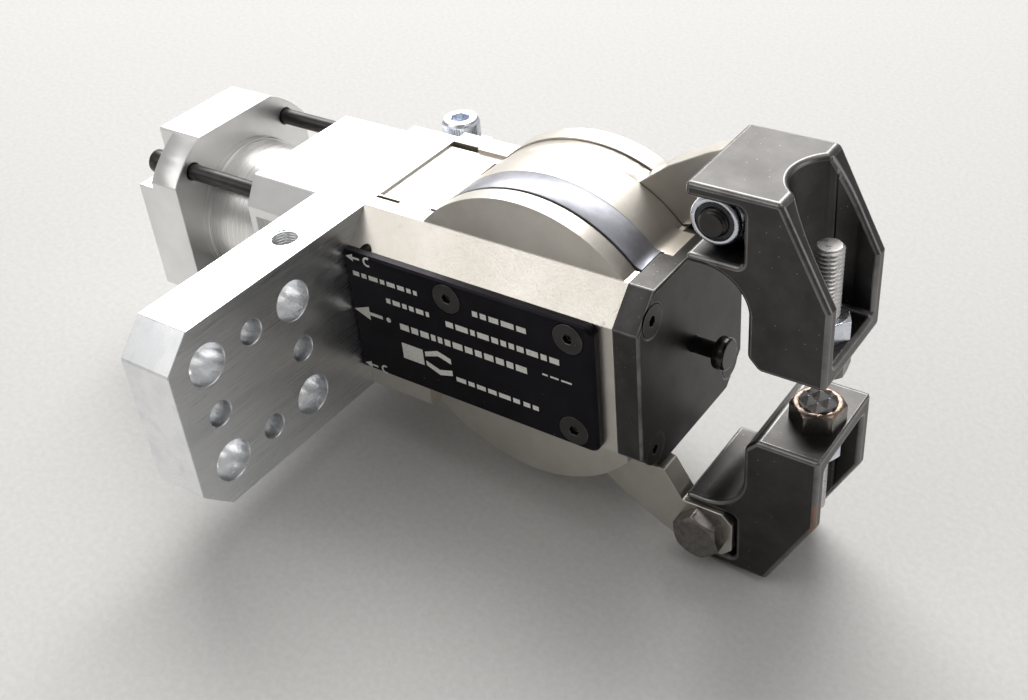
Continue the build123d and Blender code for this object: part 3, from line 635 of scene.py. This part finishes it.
def dress_nodes():
    soften("head_housing", NICKEL)
    soften("mount_plate", MILLED, 0.3)
    soften("front_cap", SATIN, 0.4)
    soften("rear_cap", SATIN, 0.4)
    soften("front_cover", COVER, 0.35, COVER_EDGE)
    soften("cover_screws", OXIDE, 0.15, OXIDE_EDGE)
    soften("label_plate", ANODISED, 0.2)
    soften("label_screws", OXIDE, 0.15, OXIDE_EDGE)
    soften("side_cover", ANODISED, 0.2)
    soften("side_cover_screws", OXIDE, 0.15, OXIDE_EDGE)
    soften("tie_rod_nuts", OXIDE, 0.15)
    soften("release_pin", GLOSSY, 0.25)
    soften("piston", SATIN, 0.15)
    soften("piston_nut", ZINC, 0.2)
    soften("crosshead", STEEL, 0.25)
    soften("cross_pin", STEEL, 0.1)
    soften("cam_rollers", STEEL, 0.15)
    soften("piston_rod", CHROME, 0.2)
    soften("rod_bush", BRONZE, 0.15)
    soften("piston_guide_ring", GUIDE, 0.1)
    for seal in ("barrel_seals", "rod_seal", "rod_wiper", "piston_seals"):
        soften(seal, RUBBER, 0.2)
    for side in SIDES:
        soften(side + "_guard_strip", STEEL, 0.2)
        soften(side + "_arm", NICKEL, 0.35)
        soften(side + "_pivot_pin", STEEL, 0.15)
        soften(side + "_pivot_bush", BRONZE, 0.15)
        soften(side + "_grip_insert", CARBIDE)
        soften(side + "_contact_lock_nut", ZINC, 0.2)
    soften("upper_jaw", OXIDE, 1.4, OXIDE_EDGE, 4)
    soften("lower_jaw", OXIDE, 1.4, RUSTED_EDGE, 4)


# ---- finer forms of the fasteners and the barrel ----

def body_of(node):
    bodies = frame["record"]["behaviour"]["bodies"]
    return next(name for name, body_nodes in bodies.items() if node in body_nodes)


def stand_for(piece, node):
    """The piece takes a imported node's place and moves with its body."""
    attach(piece, body_of(node))
    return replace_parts(piece, node)


def turned_corners():
    """Radius of a hexagon's corners, radius of its turned face, and how far the turning drops."""
    corner_r = BOLT_HALF_FLATS / math.cos(math.pi / 6)
    face_r = TURNED_FACE * BOLT_HALF_FLATS
    return corner_r, face_r, (corner_r - face_r) * math.tan(TURNED_ANGLE)


def hex_profile(height, corner):
    """Rings of a hexagon standing on z = 0, its upper corners turned off."""
    corner_r, face_r, drop = turned_corners()
    rings = [hexagon_ring(BOLT_HALF_FLATS, 0.0, corner_r, phase=-corner)]
    for share in (1.0, 0.6, 0.3, 0.0):
        limit = face_r + (corner_r - face_r) * share
        rings.append(hexagon_ring(BOLT_HALF_FLATS, height - drop * share, limit, phase=-corner))
    return rings


def arm_bolt(side):
    """Hexagon bolt whose last threads show past its nut."""
    node = side + "_arm_bolt"
    low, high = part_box(node)
    outward = 1.0 if side == "upper" else -1.0
    length = high.y - low.y - BOLT_HEAD
    place = middle(node)
    place.y = high.y - BOLT_HEAD if side == "upper" else low.y + BOLT_HEAD
    bm = bmesh.new()
    rings = hex_profile(BOLT_HEAD, BOLT_CORNER)
    rings.append(circle(0.80 * BOLT_HALF_FLATS, BOLT_HEAD, HEAD_POINTS))
    rings.append(circle(0.74 * BOLT_HALF_FLATS, BOLT_HEAD - 0.15 * MM, HEAD_POINTS))
    add_rings(bm, rings)
    head = add_object(node + "_head", bm, BOLT)
    stand(head, place, (0.0, outward, 0.0))
    stand_for(head, node)
    bm = bmesh.new()
    start = -length
    end = -length + BOLT_THREAD
    thread = threaded_rings(
        start, end, M8_MAJOR, M8_MINOR, M8_PITCH, THREAD_LEAD, 0.0, THREAD_POINTS)
    thread.append(circle(M8_MAJOR, end, THREAD_POINTS))
    thread.append(circle(M8_MAJOR, 0.0, THREAD_POINTS))
    add_rings(bm, thread)
    stem = add_object(node + "_thread", bm, OXIDE)
    stand(stem, place, (0.0, outward, 0.0))
    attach(stem, body_of(node))


def arm_bolt_nut(side):
    """Lock nut with a rolled collar round its locking ring."""
    node = side + "_arm_bolt_nut"
    low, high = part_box(node)
    outward = -1.0 if side == "upper" else 1.0
    height = high.y - low.y
    place = middle(node)
    place.y = high.y if side == "upper" else low.y
    bm = bmesh.new()
    rings = hex_profile(NUT_HEX, -BOLT_CORNER)
    rings.append(circle(0.93 * NUT_COLLAR_R, NUT_HEX, HEAD_POINTS))
    mid = (height + NUT_HEX) / 2
    half = (height - NUT_HEX) / 2
    for degrees in (-60, -30, 0, 30, 60, 85):
        angle = math.radians(degrees)
        radius = NUT_COLLAR_R - half + half * math.cos(angle)
        rings.append(circle(radius, mid + half * math.sin(angle), HEAD_POINTS))
    rings.append(circle(NYLON_R + 0.1 * MM, height - 0.15 * MM, HEAD_POINTS))
    rings.append(circle(NYLON_R, height - 0.7 * MM, HEAD_POINTS))
    rings.append(circle(M8_MAJOR + 0.02 * MM, height - 0.7 * MM, HEAD_POINTS))
    rings.append(circle(M8_MAJOR + 0.02 * MM, 0.0, HEAD_POINTS))
    add_rings(bm, rings + rings[:1], close_start=False, close_end=False)
    nut = add_object(node + "_detail", bm, ZINC)
    stand(nut, place, (0.0, outward, 0.0))
    stand_for(nut, node)
    bm = bmesh.new()
    tube(bm, [
        (M8_MAJOR + 0.05 * MM, height - 1.0 * MM),
        (NYLON_R - 0.05 * MM, height - 1.0 * MM),
        (NYLON_R - 0.05 * MM, height - 0.35 * MM),
        (NYLON_R - 0.35 * MM, height - 0.2 * MM),
        (M8_MAJOR + 0.30 * MM, height - 0.2 * MM),
        (M8_MAJOR + 0.05 * MM, height - 0.4 * MM),
    ])
    ring = add_object(node + "_locking_ring", bm, NYLON)
    stand(ring, place, (0.0, outward, 0.0))
    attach(ring, body_of(node))


def contact_screw(side):
    """Threaded stem with a dark hexagon head; the head's recess holds the insert."""
    node = side + "_contact_screw"
    low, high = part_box(node)
    outward = 1.0 if side == "upper" else -1.0
    length = high.z - low.z
    place = middle(node)
    place.z = low.z if side == "upper" else high.z
    corner_r, face_r, drop = turned_corners()
    phase = -CONTACT_CORNER
    bm = bmesh.new()
    rings = [circle(CONTACT_RECESS_R, CONTACT_RECESS, HEAD_POINTS)]
    rings.append(circle(CONTACT_RECESS_R, 0.1 * MM, HEAD_POINTS))
    rings.append(circle(CONTACT_RECESS_R + 0.15 * MM, 0.0, HEAD_POINTS))
    for share in (0.0, 0.35, 0.7, 1.0):
        limit = face_r + (corner_r - face_r) * share
        rings.append(hexagon_ring(BOLT_HALF_FLATS, drop * share, limit, phase=phase))
    rings.append(hexagon_ring(BOLT_HALF_FLATS, CONTACT_HEAD, corner_r, phase=phase))
    add_rings(bm, rings)
    head = add_object(node + "_head", bm, BOLT)
    head.data.materials.append(COPPER)
    for face in head.data.polygons:
        low_face = face.center.z < drop * 1.02
        outside = Vector((face.center.x, face.center.y)).length > CONTACT_RECESS_R + 0.1 * MM
        if low_face and outside:
            face.material_index = 1
    stand(head, place, (0.0, 0.0, outward))
    stand_for(head, node)
    bm = bmesh.new()
    start = CONTACT_HEAD - 0.5 * MM
    add_rings(bm, threaded_rings(
        start, length, M8_MAJOR, M8_MINOR, M8_PITCH, 0.0, THREAD_LEAD, THREAD_POINTS))
    stem = add_object(node + "_thread", bm, THREAD)
    stand(stem, place, (0.0, 0.0, outward))
    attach(stem, body_of(node))


def tab_screw():
    """Cap screw with a knurled head and a hexagon socket."""
    node = "tab_screw"
    low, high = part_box(node)
    place = middle(node)
    place.z = high.z - TAB_SCREW_HEAD
    count = KNURL_TEETH * 4

    def knurl(z):
        ring = []
        for i in range(count):
            cut = (0.0, 0.5, 1.0, 0.5)[i % 4] * KNURL_DEPTH
            angle = 2 * math.pi * i / count
            radius = TAB_SCREW_HEAD_R - cut
            ring.append(Vector((radius * math.cos(angle), radius * math.sin(angle), z)))
        return ring

    shank = low.z - place.z
    top = TAB_SCREW_HEAD
    rings = [circle(M8_MAJOR, shank, count), circle(M8_MAJOR, 0.0, count)]
    rings.append(circle(TAB_SCREW_HEAD_R - 0.5 * MM, 0.0, count))
    rings.append(circle(TAB_SCREW_HEAD_R - KNURL_DEPTH, 0.3 * MM, count))
    rings.append(knurl(0.5 * MM))
    rings.append(knurl(top - 1.5 * MM))
    rings.append(circle(TAB_SCREW_HEAD_R - KNURL_DEPTH, top - 1.3 * MM, count))
    rings.append(circle(TAB_SCREW_HEAD_R - KNURL_DEPTH, top - 0.7 * MM, count))
    rings.append(circle(TAB_SCREW_HEAD_R - 0.9 * MM, top, count))
    wide = 2 * TAB_SOCKET_HALF
    rings.append(hexagon_ring(TAB_SOCKET_HALF + 0.15 * MM, top, wide, count))
    rings.append(hexagon_ring(TAB_SOCKET_HALF, top - 0.2 * MM, wide, count))
    rings.append(hexagon_ring(TAB_SOCKET_HALF, top - TAB_SOCKET_DEPTH, wide, count))
    bm = bmesh.new()
    add_rings(bm, rings)
    screw = add_object(node + "_detail", bm, ZINC, 25.0)
    stand(screw, place, (0.0, 0.0, 1.0))
    stand_for(screw, node)


def tie_rods():
    """Four long rods with threads at their rear ends."""
    node = "tie_rods"
    low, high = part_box(node)
    bm = bmesh.new()
    length = high.x - low.x
    for y in (low.y + TIE_ROD_R, high.y - TIE_ROD_R):
        for z in (low.z + TIE_ROD_R, high.z - TIE_ROD_R):
            rings = threaded_rings(
                0.0, TIE_THREAD, TIE_ROD_R, TIE_ROD_R - 0.4 * MM, TIE_PITCH, 0.4 * MM, 0.0,
                ROD_POINTS)
            rings.append(circle(TIE_ROD_R, TIE_THREAD, ROD_POINTS))
            rings.append(circle(TIE_ROD_R, length, ROD_POINTS))
            for ring in rings:
                for point in ring:
                    point.xyz = (point.z + low.x, point.x + y, point.y + z)
            add_rings(bm, rings)
    rods = add_object(node + "_detail", bm, OXIDE)
    stand_for(rods, node)


def barrel():
    """Round barrel with a bright collar against the rear cap."""
    node = "cylinder_barrel"
    low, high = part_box(node)
    place = middle(node)
    place.x = low.x
    length = high.x - low.x
    outer = (high.z - low.z) / 2
    start = COLLAR_FROM_REAR
    end = start + COLLAR_LENGTH
    bm = bmesh.new()
    tube(bm, [
        (BORE_R, 0.0),
        (BARREL_R, 0.0),
        (BARREL_R, start),
        (outer, start),
        (outer, end - 0.3 * MM),
        (outer - 0.3 * MM, end),
        (BARREL_R + 0.15 * MM, end),
        (BARREL_R, end + 0.15 * MM),
        (BARREL_R, length),
        (BORE_R, length),
    ], 160)
    piece = add_object(node + "_detail", bm, TURNED)
    stand(piece, place, (1.0, 0.0, 0.0), (0.0, 1.0, 0.0))
    stand_for(piece, node)


def port_threads():
    """Thread inside each air port."""
    for mount in frame["record"]["mounts"]:
        if not mount["name"].startswith("air_port"):
            continue
        wall = mount["dims"]["r_mm"] * MM - 0.02 * MM
        half = mount["dims"]["length_mm"] * MM / 2 - 0.3 * MM
        turns = threaded_rings(-half, half, wall, wall - PORT_THREAD_DEPTH, PORT_PITCH, 0.0, 0.0, 48)
        bm = bmesh.new()
        rings = [circle(wall, -half, 48)] + turns + [circle(wall, half, 48), circle(wall, -half, 48)]
        add_rings(bm, rings, close_start=False, close_end=False)
        thread = add_object(mount["name"] + "_thread", bm, MILLED)
        stand(thread, Vector(mount["pos_m"]), mount["axis"])
        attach(thread, BODY)


# ---- white print on the label plate: plain bars, arrows and a gripper sign, no lettering ----

# bars: start and end from the plate's rear edge, height above its middle, height of the bar
LABEL_ROWS_MM = (
    (2.8, 27.7, 14.8, 3.2),
    (14.8, 31.3, 8.3, 3.5),
    (48.0, 68.2, 14.4, 3.8),
    (37.4, 78.9, 7.2, 4.0),
    (18.8, 65.9, 0.0, 4.5),
    (38.7, 62.2, -13.0, 3.3),
    (63.5, 68.9, -13.0, 3.3),
    (71.3, 81.3, 1.0, 1.2),
)
WORD_MM = (1.5, 4.6)
GAP_MM = 0.9
SHORTEST_MM = 0.8
ARROW_TIP_MM = 0.9
ARROW_HEIGHTS_MM = (20.4, -20.2)
SIGN_HEIGHT_MM = -9.25


def label_shapes():
    """Outlines in (x, z) millimetres from the middle of the plate's rear edge."""
    chance = random.Random(7)
    shapes = []
    for start, end, height, tall in LABEL_ROWS_MM:
        x = start
        while x < end - SHORTEST_MM:
            stop = min(end, x + chance.uniform(*WORD_MM))
            low_z = height - 0.25 * tall
            high_z = height + 0.25 * tall
            shapes.append([(x, low_z), (stop, low_z), (stop, high_z), (x, high_z)])
            x = stop + GAP_MM
    tip = ARROW_TIP_MM
    for z in ARROW_HEIGHTS_MM:
        shapes.append([(tip, z), (tip + 2.8, z - 1.3), (tip + 2.8, z + 1.3)])
        shapes.append([
            (tip + 2.8, z - 0.35),
            (tip + 5.4, z - 0.35),
            (tip + 5.4, z + 0.35),
            (tip + 2.8, z + 0.35),
        ])
        shapes += hook(9.4, z, 1.7, 0.7)
    shapes.append([(0.6, 0.8), (6.8, -1.7), (6.8, 3.3)])
    shapes.append([(6.8, 0.2), (12.0, 0.2), (12.0, 1.4), (6.8, 1.4)])
    shapes.append(round_spot(14.4, 0.8, 0.9))
    shapes.append([(18.3, -12.2), (26.5, -12.2), (26.5, -6.3), (18.3, -6.3)])
    for sign in (-1, 1):
        shapes.append([
            (27.4, SIGN_HEIGHT_MM + sign * 0.8),
            (27.4, SIGN_HEIGHT_MM + sign * 2.6),
            (32.5, SIGN_HEIGHT_MM + sign * 4.6),
            (37.4, SIGN_HEIGHT_MM + sign * 3.2),
            (37.4, SIGN_HEIGHT_MM + sign * 1.2),
            (32.5, SIGN_HEIGHT_MM + sign * 2.6),
        ])
    return shapes


def round_spot(x, z, radius):
    return [
        (x + radius * math.cos(2 * math.pi * i / 20), z + radius * math.sin(2 * math.pi * i / 20))
        for i in range(20)
    ]


def hook(x, z, radius, width):
    """C-shaped mark as short straight pieces."""
    pieces = []
    steps = 9
    for i in range(steps):
        first = math.radians(60 + 240 * i / steps)
        last = math.radians(60 + 240 * (i + 1) / steps)
        pieces.append([
            (x + radius * math.cos(first), z + radius * math.sin(first)),
            (x + (radius - width) * math.cos(first), z + (radius - width) * math.sin(first)),
            (x + (radius - width) * math.cos(last), z + (radius - width) * math.sin(last)),
            (x + radius * math.cos(last), z + radius * math.sin(last)),
        ])
    return pieces


def release_spring():
    """Coil spring of round wire, standing where the release spring's box is."""
    node = "release_spring"
    low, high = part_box(node)
    centre = middle(node)
    coil_r = (high.z - low.z) / 2 - SPRING_WIRE_R
    start = low.x + SPRING_WIRE_R
    rise = high.x - low.x - 2 * SPRING_WIRE_R
    steps = SPRING_TURNS * 32
    rings = []
    for k in range(steps + 1):
        angle = 2 * math.pi * SPRING_TURNS * k / steps
        outward = Vector((0.0, math.cos(angle), math.sin(angle)))
        place = Vector((start + rise * k / steps, centre.y, centre.z)) + outward * coil_r
        ring = []
        for i in range(12):
            turn = 2 * math.pi * i / 12
            around = math.cos(turn) * outward + Vector((math.sin(turn), 0.0, 0.0))
            ring.append(place + SPRING_WIRE_R * around)
        rings.append(ring)
    bm = bmesh.new()
    add_rings(bm, rings)
    spring = add_object(node + "_detail", bm, ZINC)
    stand_for(spring, node)
    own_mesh(spring)


def label_print():
    low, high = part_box("label_plate")
    middle_z = (low.z + high.z) / 2
    bm = bmesh.new()
    for shape in label_shapes():
        rows = []
        for y in (low.y - PRINT_THICK, low.y + PRINT_THICK):
            rows.append([bm.verts.new((low.x + x * MM, y, middle_z + z * MM)) for x, z in shape])
        count = len(shape)
        for i in range(count):
            j = (i + 1) % count
            bm.faces.new((rows[0][i], rows[0][j], rows[1][j], rows[1][i]))
        bm.faces.new(rows[0])
        bm.faces.new(list(reversed(rows[1])))
    sign = add_object("label_print", bm, PRINT)
    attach(sign, BODY)


def add_details():
    for side in SIDES:
        arm_bolt(side)
        arm_bolt_nut(side)
        contact_screw(side)
    tab_screw()
    tie_rods()
    barrel()
    port_threads()
    release_spring()
    label_print()


# ---- camera, floor and light ----

def add_camera():
    right = Vector(CAMERA_RIGHT)
    up = Vector(CAMERA_UP)
    back = right.cross(up)
    camera = bpy.data.objects.new("camera", bpy.data.cameras.new("camera"))
    bpy.context.scene.collection.objects.link(camera)
    turn = Matrix((right, up, back)).transposed().to_4x4()
    camera.matrix_world = Matrix.Translation(CAMERA_PLACE) @ turn
    camera.data.sensor_width = CAMERA_SENSOR_MM
    camera.data.lens = CAMERA_LENS_MM
    camera.data.clip_start = 0.01
    camera.data.clip_end = 20.0
    bpy.context.scene.camera = camera


def floor_frame():
    """Place of the floor: its local Z is the floor's normal."""
    return Matrix.Translation((0.0, 0.0, FLOOR_Z)) @ Matrix.Rotation(FLOOR_TILT, 4, "Y")


def add_floor():
    bm = bmesh.new()
    bmesh.ops.create_grid(bm, x_segments=8, y_segments=8, size=2.5)
    look = Look("floor_look", (0.60, 0.595, 0.585), 0.0, 0.75)
    grain = look.noise(0.5, 4.0, 0.6)
    look.colour(look.mix(look.ramp(grain, 0.3, 0.7), (0.54, 0.535, 0.525), (0.60, 0.595, 0.585)))
    look.bump(look.noise(1.2, 3.0, 0.6), 0.05, 0.3)
    floor = add_object("studio_floor", bm, look.material)
    floor.matrix_world = floor_frame()


def add_light(name, direction, distance, width, height, radiance, colour):
    """Soft area light that looks at the gripper from a direction in the floor's frame."""
    data = bpy.data.lights.new(name, "AREA")
    data.shape = "RECTANGLE"
    data.size = width
    data.size_y = height
    data.energy = radiance * math.pi * width * height
    data.color = colour
    light = bpy.data.objects.new(name, data)
    bpy.context.scene.collection.objects.link(light)
    target = (cad_low + cad_high) / 2
    toward = (floor_frame().to_3x3() @ Vector(direction)).normalized()
    light.matrix_world = (
        Matrix.Translation(target + toward * distance) @ toward.to_track_quat("Z", "Y").to_matrix().to_4x4()
    )


def add_world():
    """Soft room: brighter overhead and behind, darker in front."""
    world = bpy.data.worlds.new("studio")
    bpy.context.scene.world = world
    world.use_nodes = True
    tree = world.node_tree
    coordinates = tree.nodes.new("ShaderNodeTexCoord")
    dot = tree.nodes.new("ShaderNodeVectorMath")
    dot.operation = "DOT_PRODUCT"
    dot.inputs[1].default_value = Vector((-0.35, 0.55, 0.75)).normalized()
    tree.links.new(coordinates.outputs["Generated"], dot.inputs[0])
    ramp = tree.nodes.new("ShaderNodeMapRange")
    ramp.inputs["From Min"].default_value = -0.7
    ramp.inputs["From Max"].default_value = 1.0
    ramp.inputs["To Min"].default_value = 0.10
    ramp.inputs["To Max"].default_value = 0.65
    tree.links.new(dot.outputs["Value"], ramp.inputs["Value"])
    shader = tree.nodes["Background"]
    shader.inputs["Color"].default_value = (1.0, 0.99, 0.975, 1.0)
    tree.links.new(ramp.outputs["Result"], shader.inputs["Strength"])


def add_stage():
    bpy.context.scene.view_settings.view_transform = "Standard"
    bpy.context.scene.view_settings.exposure = -0.45
    add_camera()
    add_floor()
    add_world()
    add_light("window", (-0.50, 0.64, 0.66), 2.4, 2.2, 1.8, 9.0, (1.0, 0.99, 0.975))
    add_light("overhead", (0.25, 0.1, 1.0), 2.4, 1.6, 1.6, 1.2, (1.0, 0.99, 0.98))
    add_light("left", (-0.56, -0.60, 0.60), 2.4, 1.5, 1.2, 2.2, (1.0, 0.99, 0.98))
    add_light("front", (0.90, 0.35, 0.30), 2.2, 1.4, 1.0, 1.6, (0.98, 0.99, 1.0))


dress_nodes()
add_details()
add_stage()
